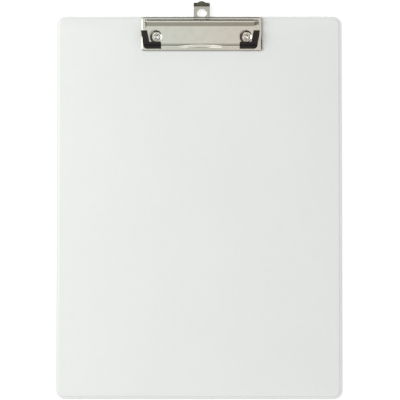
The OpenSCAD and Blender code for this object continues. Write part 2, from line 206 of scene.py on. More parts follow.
def ringPlan(width, depth, radius, steps=8, rearMarks=()):
    # anchors and directions of a rounded rectangle, so that any inset of it has the same points
    w = width / 2 - radius
    d = depth / 2 - radius
    plan = []
    for cx, cy, start in ((w, d, 0), (-w, d, 90), (-w, -d, 180), (w, -d, 270)):
        for i in range(steps + 1):
            angle = math.radians(start + 90 * i / steps)
            plan.append((cx, cy, math.cos(angle), math.sin(angle)))
        if start == 0:
            for x in sorted(rearMarks, reverse=True):
                plan.append((x, d, 0.0, 1.0))
    return plan


def placeRing(plan, radius, inset, centre, z):
    reach = radius - inset
    return [(centre[0] + ax + dx * reach, centre[1] + ay + dy * reach, z) for ax, ay, dx, dy in plan]


def circleRing(centre, radius, z, segments=48):
    return [(centre[0] + radius * math.cos(2 * math.pi * i / segments),
             centre[1] + radius * math.sin(2 * math.pi * i / segments), z) for i in range(segments)]


# ---- finishes

def startFinish(name, look):
    finish = bpy.data.materials.new(name)
    finish.use_nodes = True
    tree = finish.node_tree
    tree.nodes.clear()
    output = tree.nodes.new("ShaderNodeOutputMaterial")
    shader = tree.nodes.new("ShaderNodeBsdfPrincipled")
    tree.links.new(shader.outputs["BSDF"], output.inputs["Surface"])
    for socket, value in look.items():
        shader.inputs[socket].default_value = value
    coords = tree.nodes.new("ShaderNodeTexCoord").outputs["Object"]
    return finish, tree, shader, coords


def stretched(tree, coords, scale):
    mapping = tree.nodes.new("ShaderNodeMapping")
    mapping.inputs["Scale"].default_value = scale
    tree.links.new(coords, mapping.inputs["Vector"])
    return mapping.outputs["Vector"]


def noise(tree, coords, scale, detail=4.0, roughness=0.55, distortion=0.0):
    node = tree.nodes.new("ShaderNodeTexNoise")
    node.inputs["Scale"].default_value = scale
    node.inputs["Detail"].default_value = detail
    node.inputs["Roughness"].default_value = roughness
    node.inputs["Distortion"].default_value = distortion
    tree.links.new(coords, node.inputs["Vector"])
    return node.outputs[0]


def spread(tree, value, low, high, fromLow=0.3, fromHigh=0.7):
    node = tree.nodes.new("ShaderNodeMapRange")
    node.inputs["From Min"].default_value = fromLow
    node.inputs["From Max"].default_value = fromHigh
    node.inputs["To Min"].default_value = low
    node.inputs["To Max"].default_value = high
    tree.links.new(value, node.inputs["Value"])
    return node.outputs["Result"]


def combine(tree, operation, first, second):
    node = tree.nodes.new("ShaderNodeMath")
    node.operation = operation
    for socket, value in zip(node.inputs, (first, second)):
        if isinstance(value, (int, float)):
            socket.default_value = value
        else:
            tree.links.new(value, socket)
    return node.outputs[0]


def blendColours(tree, factor, first, second):
    node = tree.nodes.new("ShaderNodeMix")
    node.data_type = "RGBA"
    if isinstance(factor, float):
        node.inputs[0].default_value = factor
    else:
        tree.links.new(factor, node.inputs[0])
    for socket, colour in ((node.inputs[6], first), (node.inputs[7], second)):
        if isinstance(colour, tuple):
            socket.default_value = (*colour, 1.0)
        else:
            tree.links.new(colour, socket)
    return node.outputs[2]


def bump(tree, height, distance, strength=1.0, under=None):
    node = tree.nodes.new("ShaderNodeBump")
    node.inputs["Strength"].default_value = strength
    node.inputs["Distance"].default_value = distance
    tree.links.new(height, node.inputs["Height"])
    if under is not None:
        tree.links.new(under, node.inputs["Normal"])
    return node.outputs["Normal"]


def axisValue(tree, coords, axis):
    node = tree.nodes.new("ShaderNodeSeparateXYZ")
    tree.links.new(coords, node.inputs[0])
    return node.outputs[axis]


def whiteFilm():
    look = {"Roughness": 0.4, "Specular IOR Level": 0.45}
    finish, tree, shader, coords = startFinish("whiteFilm", look)
    cloud = noise(tree, coords, 14, detail=3)
    mottle = noise(tree, coords, 260, detail=5)
    grain = noise(tree, coords, 2600, detail=2)
    tone = blendColours(tree, spread(tree, cloud, 0.0, 1.0), (0.825, 0.842, 0.822), (0.845, 0.858, 0.842))
    tone = blendColours(tree, spread(tree, mottle, 0.0, 0.25), tone, (0.80, 0.81, 0.80))
    lengthwise = stretched(tree, coords, (1.0, 0.35, 1.0))
    scuffs = noise(tree, lengthwise, 90, detail=8, roughness=0.7, distortion=1.5)
    marks = spread(tree, scuffs, 0.0, 0.16, 0.62, 0.74)
    tone = blendColours(tree, marks, tone, (0.66, 0.67, 0.66))
    tree.links.new(tone, shader.inputs["Base Color"])
    sheen = spread(tree, mottle, 0.34, 0.46)
    gloss = combine(tree, "ADD", sheen, spread(tree, scuffs, 0.0, 0.12, 0.55, 0.75))
    tree.links.new(gloss, shader.inputs["Roughness"])
    waves = noise(tree, coords, 34, detail=2)
    surface = bump(tree, waves, 0.00035, 0.35)
    surface = bump(tree, mottle, 0.00003, 0.5, under=surface)
    surface = bump(tree, grain, 0.00001, 0.45, under=surface)
    tree.links.new(surface, shader.inputs["Normal"])
    return finish


def plateFinish(name, warm, cool, polish, scratch=1.0):
    # bright plating: warm to the right, cool to the left, faint rub marks along the length
    finish, tree, shader, coords = startFinish(name, {"Metallic": 1.0})
    across = spread(tree, axisValue(tree, coords, 0), 0.0, 1.0, -0.028, 0.036)
    drift = noise(tree, coords, 30, detail=2)
    tint = combine(tree, "ADD", across, spread(tree, drift, -0.3, 0.3))
    tone = blendColours(tree, tint, cool, warm)
    blotch = noise(tree, coords, 170, detail=6, roughness=0.6)
    tone = blendColours(tree, spread(tree, blotch, 0.0, 0.2, 0.4, 0.75), tone, (0.43, 0.42, 0.38))
    tree.links.new(tone, shader.inputs["Base Color"])
    rub = noise(tree, stretched(tree, coords, (0.06, 1.0, 1.0)), 2400, detail=3)
    gloss = combine(tree, "ADD", spread(tree, blotch, polish, polish + 0.07), spread(tree, rub, 0.0, 0.05))
    tree.links.new(gloss, shader.inputs["Roughness"])
    peel = noise(tree, coords, 420, detail=2)
    surface = bump(tree, peel, 0.00002, 0.25 * scratch)
    surface = bump(tree, rub, 0.000004, 0.35 * scratch, under=surface)
    tree.links.new(surface, shader.inputs["Normal"])
    return finish


def wireFinish(name, light, dark, stretch):
    # drawn steel: fine lines and darker film in patches
    finish, tree, shader, coords = startFinish(name, {"Metallic": 1.0})
    lines = noise(tree, stretched(tree, coords, stretch), 3000, detail=3)
    patches = noise(tree, coords, 300, detail=5)
    tone = blendColours(tree, spread(tree, patches, 0.0, 1.0), light, dark)
    tree.links.new(tone, shader.inputs["Base Color"])
    tree.links.new(spread(tree, lines, 0.22, 0.42), shader.inputs["Roughness"])
    tree.links.new(bump(tree, lines, 0.000008, 0.5), shader.inputs["Normal"])
    return finish


def blackRubber():
    look = {"Roughness": 0.55, "Specular IOR Level": 0.28}
    finish, tree, shader, coords = startFinish("blackRubber", look)
    haze = noise(tree, coords, 220, detail=5)
    grain = noise(tree, coords, 5200, detail=3)
    specks = noise(tree, coords, 1500, detail=6, roughness=0.75)
    tone = blendColours(tree, spread(tree, haze, 0.0, 1.0), (0.007, 0.0062, 0.005), (0.014, 0.012, 0.0095))
    tone = blendColours(tree, spread(tree, specks, 0.0, 0.5, 0.66, 0.8), tone, (0.12, 0.11, 0.10))
    tree.links.new(tone, shader.inputs["Base Color"])
    tree.links.new(spread(tree, haze, 0.45, 0.66), shader.inputs["Roughness"])
    surface = bump(tree, haze, 0.00008, 0.5)
    surface = bump(tree, grain, 0.000018, 0.6, under=surface)
    tree.links.new(surface, shader.inputs["Normal"])
    return finish


def greyboard():
    finish, tree, shader, coords = startFinish("greyboardCore", {"Roughness": 0.9})
    fibres = noise(tree, stretched(tree, coords, (0.25, 1.0, 3.0)), 900, detail=6, roughness=0.7)
    flecks = noise(tree, coords, 1400, detail=3)
    tone = blendColours(tree, spread(tree, fibres, 0.0, 1.0), (0.30, 0.27, 0.23), (0.42, 0.39, 0.34))
    tone = blendColours(tree, spread(tree, flecks, 0.0, 0.6, 0.62, 0.72), tone, (0.16, 0.14, 0.12))
    tree.links.new(tone, shader.inputs["Base Color"])
    tree.links.new(bump(tree, fibres, 0.00006, 0.7), shader.inputs["Normal"])
    return finish


filmFinish = whiteFilm()
nickel = plateFinish("nickelPlate", (0.60, 0.555, 0.48), (0.60, 0.61, 0.535), 0.13)
hangerSteel = plateFinish("hangerPlate", (0.44, 0.425, 0.37), (0.43, 0.43, 0.38), 0.16)
rivetMetal = plateFinish("rivetPlate", (0.70, 0.67, 0.62), (0.68, 0.68, 0.65), 0.12, scratch=1.6)
rodSteel = wireFinish("rodSteel", (0.55, 0.53, 0.49), (0.40, 0.38, 0.35), (0.08, 1.0, 1.0))
springSteel = wireFinish("springSteel", (0.42, 0.40, 0.37), (0.22, 0.21, 0.20), (1.0, 0.3, 0.3))
rubber = blackRubber()
coreFinish = greyboard()
print("finishes made")


# ---- board: two welded covers round the core

board = {
    "cornerRadius": 7.5 * mm,
    "film": 0.25 * mm,
    "rimWidth": 1.4 * mm,  # flat welded rim outside the core
    "rimHeight": 0.75 * mm,  # rim above the seam, on each cover
    "shoulder": 1.3 * mm,  # where the film bends over the core's edge
    "rimRound": ((0.62, 0.02), (0.4, 0.07), (0.2, 0.17), (0.06, 0.3), (0.0, 0.46)),  # in and down, in mm
    "coreGap": 0.01 * mm,
    "shankHole": 2.03 * mm,
    "headHole": 4.03 * mm,
}
seam = (boardBack + boardFace) / 2
boardMiddle = ((boardLow.x + boardHigh.x) / 2, (boardLow.y + boardHigh.y) / 2)
boardSize = (boardHigh.x - boardLow.x, boardHigh.y - boardLow.y)


def shoulderLine():
    # (inset, height above the seam) from the face down to the rim, where the film bends over the core
    steps = 7
    line = []
    for i in range(steps + 1):
        t = i / steps
        ease = t * t * (3 - 2 * t)
        fall = boardFace - seam - board["rimHeight"]
        line.append((board["rimWidth"] + board["shoulder"] * (1 - t), boardFace - seam - fall * ease))
    return line


def coverProfile(side):
    # (inset, height) from the face outwards, over the rim and back along the seam
    rise = board["rimHeight"]
    profile = shoulderLine()
    profile += [(inset * mm, rise - fall * mm) for inset, fall in board["rimRound"]]
    profile += [(0.0, 0.0), (board["rimWidth"] + board["film"], 0.0)]
    profile += [(inset, height - board["film"]) for inset, height in shoulderLine()[-2::-1]]
    return [(inset, seam + side * height) for inset, height in profile]


def coreProfile():
    # greyboard, crushed thinner along its edge
    half = [(inset, height - board["film"] - board["coreGap"]) for inset, height in shoulderLine()[:-1]]
    front = [(inset, seam + height) for inset, height in half]
    return front + [(inset, seam - height) for inset, height in reversed(half)]


def makeLayer(name, node, profile, holeRadius, finish):
    # a closed shell from a profile of (inset, height), with a hole for each rivet
    bm = bmesh.new()
    plan = ringPlan(boardSize[0], boardSize[1], board["cornerRadius"], steps=12)
    rings = [placeRing(plan, board["cornerRadius"], inset, boardMiddle, z) for inset, z in profile]
    loops = loft(bm, rings, capFirst=False, capLast=False)
    outer = []
    inner = []
    for rivetNode in rivetNodes:
        centre = rivetCentre(rivetNode)
        outer.append(addLoop(bm, circleRing(centre, holeRadius, rings[0][0][2])))
        inner.append(addLoop(bm, circleRing(centre, holeRadius, rings[-1][0][2])))
        bridge(bm, outer[-1], inner[-1])
    fillFlat(bm, loops[0], *outer)
    fillFlat(bm, loops[-1], *inner)
    layer = makePiece(name, bm, finish, 30)
    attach(layer, "board")
    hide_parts(node)


makeLayer("front_cover_film", "front_cover", coverProfile(1), board["shankHole"], filmFinish)
makeLayer("back_cover_film", "back_cover", coverProfile(-1), board["headHole"], filmFinish)
makeLayer("core_board_sheet", "core_board", coreProfile(), board["shankHole"], coreFinish)
print("board covers made")


# ---- base plate: a shallow tray with bent edges, two cups for the rivets and two ears for the rod

base = {
    "bend": 1.2 * mm,
    "cornerRadius": 1.8 * mm,
    "cupTop": 5.5 * mm,
    "cupFloor": 3.2 * mm,
    "cupEdge": 0.35 * mm,  # rounding of the cup's upper edge
    "shank": 2.03 * mm,
    "earInset": 3.6 * mm,
    "earRadius": 1.8 * mm,
    "slotClear": 0.4 * mm,
    "windowCorner": 0.5 * mm,
    "rodClear": 0.03 * mm,
    "edgeBevel": 0.09 * mm,
    "earBevel": 0.1 * mm,
}


def cupRings(centre):
    # over the rounded edge as far as 45 degrees, then down a bowl that levels out into the floor
    edge = base["cupEdge"]
    top = base["cupTop"] + edge
    floorZ = boardFace + clip["sheet"]
    startTurn = math.pi / 4
    profile = arc((top, baseTop - edge), edge, 90, 135, 2)
    startRadius, startZ = profile[-1]
    startFall = (1 - math.cos(startTurn)) / 2
    for i in range(1, 11):
        turn = startTurn + (math.pi - startTurn) * i / 10
        share = ((1 - math.cos(turn)) / 2 - startFall) / (1 - startFall)
        radius = startRadius + (base["cupFloor"] - startRadius) * i / 10
        profile.append((radius, startZ + (floorZ - startZ) * share))
    profile.append((base["shank"], floorZ))
    return [circleRing(centre, radius, z) for radius, z in profile]


def windowRing(side):
    inner = earFace() - clip["sheet"] - clip["rodRise"] - base["earRadius"]
    outer = earFace() - clip["sheet"]
    centre = (rod.x + side * (inner + outer) / 2, rod.y)
    plan = ringPlan(outer - inner, 2 * base["earRadius"], base["windowCorner"], steps=3)
    return placeRing(plan, base["windowCorner"], 0.0, centre, baseTop)


def earFace():
    return (baseHigh.x - baseLow.x) / 2 - base["earInset"]


def makeEar(side):
    # a tongue lanced out of the plate and bent up, with the rod's hole near its round end
    bm = bmesh.new()
    radius = base["earRadius"]
    outline = [(-radius, -clip["sheet"]), (radius, -clip["sheet"])]
    outline += arc((0.0, clip["rodRise"]), radius, 0, 180, 20)
    hole = arc((0.0, clip["rodRise"]), clip["rodRadius"] + base["rodClear"], 0, 345, 23)
    x = rod.x + side * earFace()
    loops = []
    for depth in (0.0, clip["sheet"]):
        loops.append([addLoop(bm, [(x - side * depth, rod.y + y, baseTop + z) for y, z in points])
                      for points in (outline, hole)])
        fillFlat(bm, *loops[-1])
    bridge(bm, loops[0][0], loops[1][0])
    bridge(bm, loops[0][1], loops[1][1])
    ear = makePiece("ear", bm, nickel)
    bevelEdges(ear, base["earBevel"])
    applyModifiers(ear)
    return ear


def makeBase():
    bm = bmesh.new()
    width = baseHigh.x - baseLow.x
    depth = baseHigh.y - baseLow.y
    centre = ((baseLow.x + baseHigh.x) / 2, (baseLow.y + baseHigh.y) / 2)
    bend = base["bend"]
    radius = base["cornerRadius"]
    slot = (hangerHigh.x - hangerLow.x) / 2 - hanger["shoulderStep"] + base["slotClear"]
    plan = ringPlan(width, depth, radius, steps=8, rearMarks=(-slot, slot))
    slotEdge = next(i for i, mark in enumerate(plan) if mark[0] == slot)
    rings = [placeRing(plan, radius, 0.0, centre, boardFace)]
    for inset, height in arc((bend, -bend), bend, 180, 90, 7):
        rings.append(placeRing(plan, radius, inset, centre, baseTop + height))
    loops = [addLoop(bm, ring) for ring in rings]
    for first, second in zip(loops, loops[1:]):
        low = first[0].co.z < baseTop - clip["sheet"]
        bridge(bm, first, second, skip=(slotEdge,) if low else ())
    holes = [addLoop(bm, windowRing(side)) for side in (-1, 1)]
    for node in rivetNodes:
        cup = [addLoop(bm, ring) for ring in cupRings(rivetCentre(node))]
        for first, second in zip(cup, cup[1:]):
            bridge(bm, first, second)
        holes.append(cup[0])
    fillFlat(bm, loops[-1], *holes)
    bmesh.ops.delete(bm, geom=[v for v in bm.verts if not v.link_faces], context="VERTS")
    tray = makePiece("clip_base_sheet", bm, nickel, 40)
    thicken(tray, clip["sheet"], base["edgeBevel"])
    applyModifiers(tray, 40)
    joinInto(tray, makeEar(-1), makeEar(1))
    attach(tray, "board")
    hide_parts("clip_base")


# ---- hanger: a flat tab with a hanging hole and a bent-up finger lip

hanger = {
    "thickness": 0.9 * mm,
    "shoulderStep": 4.3 * mm,
    "shoulderLength": 7.0 * mm,
    "tabOut": 7.7 * mm,  # board's top edge to the bend
    "holeOut": 2.2 * mm,
    "holeRadius": 3.8 * mm,
    "bendRadius": 0.6 * mm,
    "lipAngle": 45,
    "lipLength": 3.1 * mm,
    "bumpRise": 1.5 * mm,
    "bumpHalf": 3.6 * mm,
    "corner": 0.35 * mm,
    "edgeBevel": 0.14 * mm,
}


def hangerOutline():
    # (x, s): s runs along the top face from the board's top edge outwards, as if the lip were flat
    half = (hangerHigh.x - hangerLow.x) / 2 - hanger["shoulderStep"]
    wide = (hangerHigh.x - hangerLow.x) / 2
    rear = hangerLow.y - boardHigh.y
    bendLength = hanger["bendRadius"] * math.radians(hanger["lipAngle"])
    edge = hanger["tabOut"] + bendLength + hanger["lipLength"]
    rise = hanger["bumpRise"]
    bumpRadius = (hanger["bumpHalf"] ** 2 + rise ** 2) / (2 * rise)
    sweep = math.degrees(math.asin(hanger["bumpHalf"] / bumpRadius))
    corner = hanger["corner"]
    shoulder = rear + hanger["shoulderLength"]
    outline = [(-wide, shoulder), (-wide, rear), (wide, rear), (wide, shoulder), (half, shoulder)]
    outline += [(half, edge - corner)] + arc((half - corner, edge - corner), corner, 20, 90, 3)
    outline += arc((0.0, edge + rise - bumpRadius), bumpRadius, 90 - sweep, 90 + sweep, 14)
    outline += arc((corner - half, edge - corner), corner, 90, 160, 3) + [(-half, edge - corner)]
    outline += [(-half, shoulder)]
    return outline


def bendHanger(point):
    x, s = point.x, point.y
    radius = hanger["bendRadius"]
    start = hanger["tabOut"]
    bendLength = radius * math.radians(hanger["lipAngle"])
    y = min(s, start)
    z = hangerLow.z + hanger["thickness"]
    if s > start:
        turn = min(s - start, bendLength) / radius
        y += radius * math.sin(turn)
        z += radius * (1 - math.cos(turn))
        rest = max(s - start - bendLength, 0.0)
        y += rest * math.cos(turn)
        z += rest * math.sin(turn)
    return Vector((rod.x + x, boardHigh.y + y, z))


def makeHanger():
    bm = bmesh.new()
    outline = addLoop(bm, [(x, s, 0.0) for x, s in hangerOutline()])
    hole = addLoop(bm, circleRing((0.0, hanger["holeOut"]), hanger["holeRadius"], 0.0, 56))
    fillFlat(bm, outline, hole)
    bendLength = hanger["bendRadius"] * math.radians(hanger["lipAngle"])
    for i in range(7):
        cut = Vector((0.0, hanger["tabOut"] + bendLength * i / 6, 0.0))
        bmesh.ops.bisect_plane(bm, geom=bm.verts[:] + bm.edges[:] + bm.faces[:],
                               plane_co=cut, plane_no=(0.0, 1.0, 0.0))
    for vert in bm.verts:
        vert.co = bendHanger(vert.co)
    faceUp(bm)
    tab = addObject("hanger_tab", bm, hangerSteel)
    thicken(tab, hanger["thickness"], hanger["edgeBevel"])
    applyModifiers(tab, 32)
    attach(tab, "hanger")
    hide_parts("hanger")


makeBase()
makeHanger()
print("base plate and hanger made")


# ---- hinge rod with peened ends

peen = {"radius": 1.3 * mm, "height": 0.6 * mm, "step": 0.1 * mm}


def makeRod():
    bm = bmesh.new()
    radius = clip["rodRadius"]
    headRadius = peen["radius"]
    headHeight = peen["height"]
    under = headRadius - peen["step"]
    shoulder = (rodHigh.x - rodLow.x) / 2 - headHeight
    head = [(headRadius * math.cos(math.radians(a)), shoulder + headHeight * math.sin(math.radians(a)))
            for a in (0, 12, 25, 40, 55, 70, 82)]
    profile = [(pole, -head[-1][1])] + [(r, -h) for r, h in reversed(head)]
    profile += [(under, -shoulder), (radius, -shoulder), (radius, shoulder), (under, shoulder)]
    profile += head + [(pole, head[-1][1])]

    def place(r, h, angle):
        return (rod.x + h, rod.y + r * math.cos(angle), rod.z + r * math.sin(angle))

    loft(bm, turned(profile, place, 32))
    piece = makePiece("hinge_rod_peened", bm, rodSteel)
    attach(piece, "board")
    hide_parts("hinge_rod")


# ---- press plate: one sheet, rolled over the rod, flat on top, creased and flared at the front

press = {
    "halfWidth": (pressHigh.x - pressLow.x) / 2,
    "ridge": pressHigh.y - rod.y,  # outer radius of the rolled ridge
    "ridgeEnd": 200,
    "lift": -0.1 * mm,  # flat top above the rod's axis
    "ridgeSlope": 30,  # front of the ridge, down to the flat top
    "neck": 0.8 * mm,
    "crease": 1.1 * mm,
    "flank": 60,
    "foot": 0.4 * mm,
    "lipLength": 1.5 * mm,
    "lipSlope": 8,
    "taper": 1.9 * mm,
    "waist": 5.0 * mm,  # where the plate starts to widen, from the rod
    "shoulder": 7.2 * mm,
    "endPlay": 1.4 * mm,
    "corner": 2.4 * mm,
    "skirtBend": 0.8 * mm,
    "skirtRise": 1.2 * mm,
    "archWidth": 34 * mm,
    "archRise": 1.5 * mm,
    "archLead": 0.9 * mm,
    "access": 5.3 * mm,
    "accessRound": 0.22 * mm,
    "endRound": 0.4 * mm,
    "edgeBevel": 0.12 * mm,
    "flatRows": (5.7, 6.4, 7.3, 8.3, 10.0, 12.0, 14.0, 16.0),  # mesh rows across the flat top, in mm
    "outerColumns": (22, 26, 30, 33, 36, 39, 41.5),  # and columns beside the arch
    "edgeColumns": (1.4, 0.9, 0.6, 0.4, 0.24, 0.12, 0.04, 0.0),  # and towards the side edge
}
pressX = (pressLow.x + pressHigh.x) / 2
pressFront = rod.y - pressLow.y
flatTop = clip["rodRise"] + press["lift"]
lipEnd = pressLow.z - baseTop + clip["sheet"] * math.cos(math.radians(press["lipSlope"]))


def pressSection():
    # rows of ((u, v), stretch): u forward of the rod, v above the base plate
    flank = math.radians(press["flank"])
    lip = math.radians(press["lipSlope"])
    ridge = press["ridge"]
    neck = press["neck"]
    slope = math.radians(press["ridgeSlope"])
    crest = clip["rodRise"] + ridge / math.cos(slope)
    neckU = (crest - flatTop) / math.tan(slope) + neck * math.tan(slope / 2)
    neckMid = (neckU, flatTop + neck)
    lipStart = (pressFront - press["lipLength"] * math.cos(lip), lipEnd + press["lipLength"] * math.sin(lip))
    footMid = (lipStart[0] + press["foot"] * math.sin(lip), lipStart[1] + press["foot"] * math.cos(lip))
    flankEnd = (footMid[0] - press["foot"] * math.sin(flank), footMid[1] - press["foot"] * math.cos(flank))
    drop = flatTop - press["crease"] * (1 - math.cos(flank)) - flankEnd[1]
    flankStart = (flankEnd[0] - drop / math.tan(flank), flankEnd[1] + drop)
    creaseMid = (flankStart[0] - press["crease"] * math.sin(flank), flatTop - press["crease"])
    top = 90 - press["ridgeSlope"]
    rows = [(p, "ridge") for p in arc((0.0, clip["rodRise"]), ridge, press["ridgeEnd"], top, 26)]
    neckLine = arc(neckMid, neck, 180 + top, 270, 5)
    slopeStart = rows[-1][0]
    rows += [(between(slopeStart, neckLine[0], i / 6), "ridge") for i in range(1, 6)]
    rows += [(p, "flat") for p in neckLine]
    marks = sorted([press["waist"], press["shoulder"], *(u * mm for u in press["flatRows"])])
    archStart = creaseMid[0] - press["archLead"]
    marks += [archStart + press["archLead"] * i / 4 for i in range(4)]
    rows += [((u, flatTop), "flat") for u in marks]
    rows += [(p, "front") for p in arc(creaseMid, press["crease"], 90, 90 - press["flank"], 7)]
    rows += [(between(flankStart, flankEnd, i / 7), "front") for i in range(1, 7)]
    footTurn = (270 - press["flank"], 270 - press["lipSlope"])
    rows += [(p, "front") for p in arc(footMid, press["foot"], *footTurn, 5)]
    rows += [(between(lipStart, (pressFront, lipEnd), i / 6), "front") for i in range(1, 7)]
    return rows, archStart, creaseMid[0]


def pressHalfWidth(u):
    narrow = earFace() - clip["sheet"] - press["endPlay"]
    wide = press["halfWidth"]
    if u <= press["waist"]:
        return narrow
    if u <= press["shoulder"]:
        return narrow + (wide - narrow) * (u - press["waist"]) / (press["shoulder"] - press["waist"])
    edge = wide - press["taper"] * (u - press["shoulder"]) / (pressFront - press["shoulder"])
    past = u - (pressFront - press["corner"])
    if past > 0:
        past = min(past, press["corner"])
        edge -= press["corner"] - math.sqrt(press["corner"] ** 2 - past ** 2)
    return edge


def makePressSheet():
    rows, archStart, creaseU = pressSection()
    crownEnd = lipEnd + press["archRise"]
    archRadius = (press["archWidth"] ** 2 / 4 + press["archRise"] ** 2) / (2 * press["archRise"])
    archReach = press["archWidth"] / 2 + 2 * mm
    soft = 0.05 * mm  # rounding where the arch leaves the sheet
    inside = [0.5 * mm * i for i in range(39)] + [x * mm for x in press["outerColumns"]]
    margins = [x * mm for x in press["edgeColumns"]]
    bend = press["skirtBend"]
    bm = bmesh.new()
    grid = []
    for (u, v), kind in rows:
        half = pressHalfWidth(u)
        skirted = press["shoulder"] <= u <= creaseU - 0.2 * mm
        line = []
        for x in inside:
            height = v
            if u > archStart and x < archReach:
                crown = flatTop + (crownEnd - flatTop) * (u - archStart) / (pressFront - archStart)
                vault = crown - archRadius + math.sqrt(archRadius ** 2 - x ** 2)
                gap = v - vault
                height = (v + vault + math.sqrt(gap * gap + soft * soft)) / 2 - soft / 2
                height = max(height, v)
            line.append((x, u, height))
        for i, margin in enumerate(margins):
            if skirted:
                turn = math.radians(90 * i / (len(margins) - 1))
                line.append((half - bend + bend * math.sin(turn), u, v - bend * (1 - math.cos(turn))))
            elif kind == "ridge" and margin < press["endRound"]:
                fillet = press["endRound"]
                shrink = fillet - math.sqrt(fillet ** 2 - (fillet - margin) ** 2)
                share = 1 - shrink / press["ridge"]
                rise = clip["rodRise"]
                line.append((half - margin, u * share, rise + (v - rise) * share))
            else:
                line.append((half - margin, u, v))
        line.append((half, u, press["skirtRise"]) if skirted else None)
        grid.append(line)

    def addPoint(point, side):
        if point is None:
            return None
        x, u, v = point
        return bm.verts.new((pressX + side * x, rod.y - u, baseTop + v))

    for side in (-1, 1):
        made = [[addPoint(point, side) for point in line] for line in grid]
        for upper, lower in zip(made, made[1:]):
            for i in range(len(upper) - 1):
                corners = (upper[i], upper[i + 1], lower[i + 1], lower[i])
                if None not in corners:
                    bm.faces.new(corners if side < 0 else corners[::-1])
    bmesh.ops.remove_doubles(bm, verts=bm.verts[:], dist=0.0005 * mm)
    faceUp(bm)
    return addObject("press_plate_sheet", bm, nickel)


def accessCutter(centre, radius):
    bm = bmesh.new()
    low = circleRing(centre, radius, baseTop + flatTop - 1.6 * mm, 72)
    high = circleRing(centre, radius, baseTop + flatTop + 1.0 * mm, 72)
    loft(bm, [low, high])
    return makePiece("cutter", bm, nickel)


def accessEdge(centre, outer):
    # the punched edge of an access hole, rounded on the outside
    bm = bmesh.new()
    top = baseTop + flatTop
    bottom = top - clip["sheet"]
    inner = press["access"]
    edge = outer - inner
    profile = [(outer, bottom), (outer, top)]
    profile += [(outer - edge * math.sin(math.radians(a)), top - edge * (1 - math.cos(math.radians(a))))
                for a in (15, 30, 45, 60, 75, 90)]
    profile += [(inner, bottom + 0.12 * mm), (inner + 0.1 * mm, bottom)]
    rings = [circleRing(centre, radius, z, 72) for radius, z in profile]
    loops = loft(bm, rings, capFirst=False, capLast=False)
    bridge(bm, loops[-1], loops[0])
    return makePiece("accessEdge", bm, nickel)


def makeCheek(side):
    # the ridge's end, folded down over the rod
    bm = bmesh.new()
    outer = pressHalfWidth(0) - 0.02 * mm
    inner = outer - clip["sheet"]
    reach = press["ridge"] - press["endRound"] + 0.03 * mm
    hole = clip["rodRadius"] + 0.06 * mm
    chamfer = 0.12 * mm
    webEnd = 4.7 * mm

    def place(radius, x, angle):
        return (pressX + side * x, rod.y + radius * math.cos(angle), rod.z + radius * math.sin(angle))

    profile = [(hole, inner), (reach, inner), (reach, outer - chamfer)]
    profile += [(reach - chamfer, outer), (hole, outer)]
    loops = loft(bm, turned(profile, place, 48), capFirst=False, capLast=False)
    bridge(bm, loops[-1], loops[0])
    # and a web from the rod to the underside of the flat top
    lift = press["lift"]
    web = [(0.8 * mm, -1.2 * mm), (1.5 * mm, -1.0 * mm), (webEnd, lift - clip["sheet"])]
    web += [(webEnd, lift - 0.15 * mm), (3.9 * mm, lift - 0.1 * mm), (0.85 * mm, 1.45 * mm)]
    faces = (inner, outer - 0.03 * mm)
    loft(bm, [[(pressX + side * x, rod.y - u, rod.z + v) for u, v in web] for x in faces])
    return makePiece("cheek", bm, nickel)


def makePress():
    sheet = makePressSheet()
    outer = press["access"] + press["accessRound"]
    left, right = [rivetCentre(node) for node in rivetNodes]
    spacing = (right.x - left.x) / 2
    centres = [(pressX + side * spacing, left.y) for side in (-1, 1)]
    thicken(sheet, clip["sheet"], press["edgeBevel"])
    cutters = [accessCutter(centre, outer) for centre in centres]
    for cutter in cutters:
        hole = sheet.modifiers.new("accessHole", "BOOLEAN")
        hole.operation = "DIFFERENCE"
        hole.solver = "EXACT"
        hole.object = cutter
    applyModifiers(sheet, 32)
    for cutter in cutters:
        bpy.data.objects.remove(cutter)
    joinInto(sheet, *[accessEdge(centre, outer) for centre in centres], makeCheek(-1), makeCheek(1))
    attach(sheet, "press")
    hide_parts("press_plate")


makeRod()
makePress()
print("rod and press plate made")


# ---- corner grips: moulded rubber, so every edge is soft

grip = {"cell": 0.13 * mm, "passes": 9}


def makeGrip(side):
    node = frame["nodes"]["corner_grip_" + side]
    bm = bmesh.new()
    bm.from_mesh(node.data)
    bmesh.ops.remove_doubles(bm, verts=bm.verts[:], dist=0.002 * mm)
    piece = makePiece("corner_grip_" + side + "_rubber", bm, rubber)
    cells = piece.modifiers.new("cells", "REMESH")
    cells.mode = "VOXEL"
    cells.voxel_size = grip["cell"]
    soften = piece.modifiers.new("soften", "SMOOTH")
    soften.factor = 0.5
    soften.iterations = grip["passes"]
    applyModifiers(piece, 180)
    piece.data.materials.clear()
    piece.data.materials.append(rubber)
    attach(piece, "press")
    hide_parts("corner_grip_" + side)


for side in ("left", "right"):
    makeGrip(side)
print("corner grips made")


# ---- rivets: a flat head in the back, and a tube rolled over in the cup

rivet = {
    "head": 4.0 * mm,
    "headHeight": 0.5 * mm,
    "shank": 2.0 * mm,
    "hollow": 1.5 * mm,
    "roll": 2.8 * mm,
    "rollRise": 0.22 * mm,  # middle of the rolled rim above its seat
    "lobes": 7,  # faint ripples left by the setting tool
    "lobeDepth": 0.07 * mm,
}


